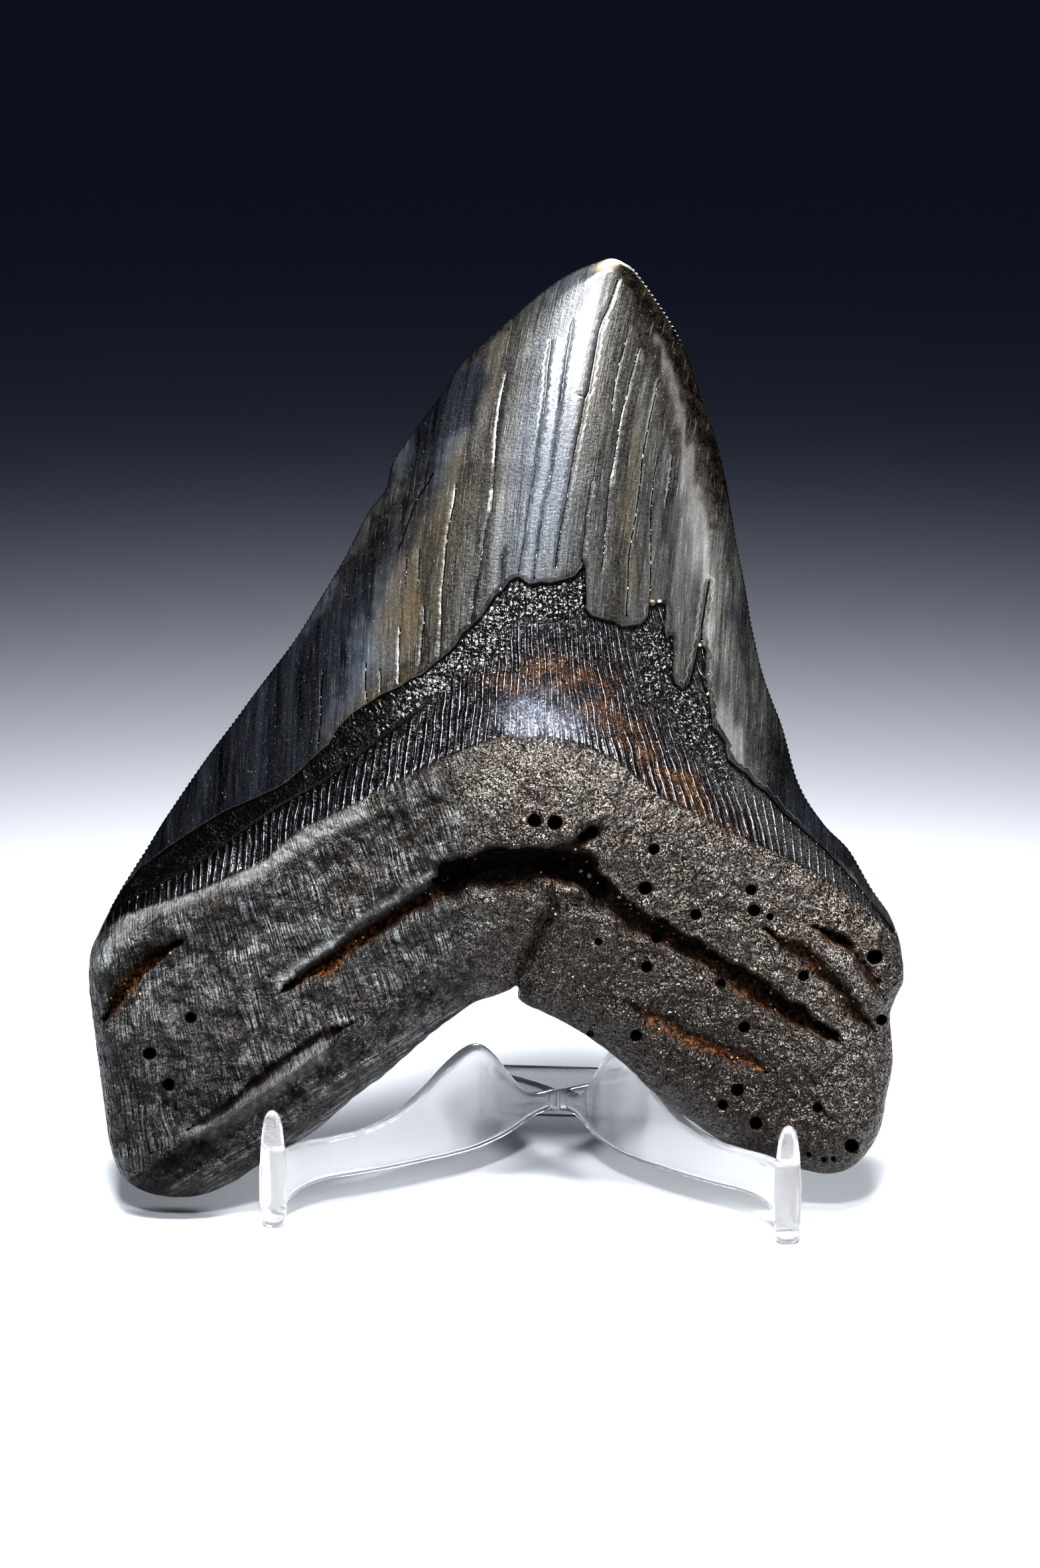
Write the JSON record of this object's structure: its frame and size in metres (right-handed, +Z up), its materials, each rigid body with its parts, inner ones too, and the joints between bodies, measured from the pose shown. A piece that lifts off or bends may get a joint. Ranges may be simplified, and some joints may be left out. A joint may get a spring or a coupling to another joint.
{
  "type": "megalodon tooth on display stand",
  "caption": "Large fossil shark tooth with a chipped enamel crown and a broad root, leaning back on a low clear plastic display stand.",
  "frame": {"origin": "bottom centre of the overall box, on the surface that the stand rests on", "axes": "+Z up, -Y towards the viewer of the tooth's inner (convex) face, +X to that viewer's right"},
  "size_m": [0.123, 0.071, 0.1408],
  "materials": {
    "fossil_tooth": "glossy dark enamel on the crown, satin grained root",
    "clear_plastic": "clear, polished, moulded"
  },
  "bodies": {
    "root": {"megalodon_tooth": "fossil_tooth", "display_stand": "clear_plastic"}
  },
  "joints": []
}
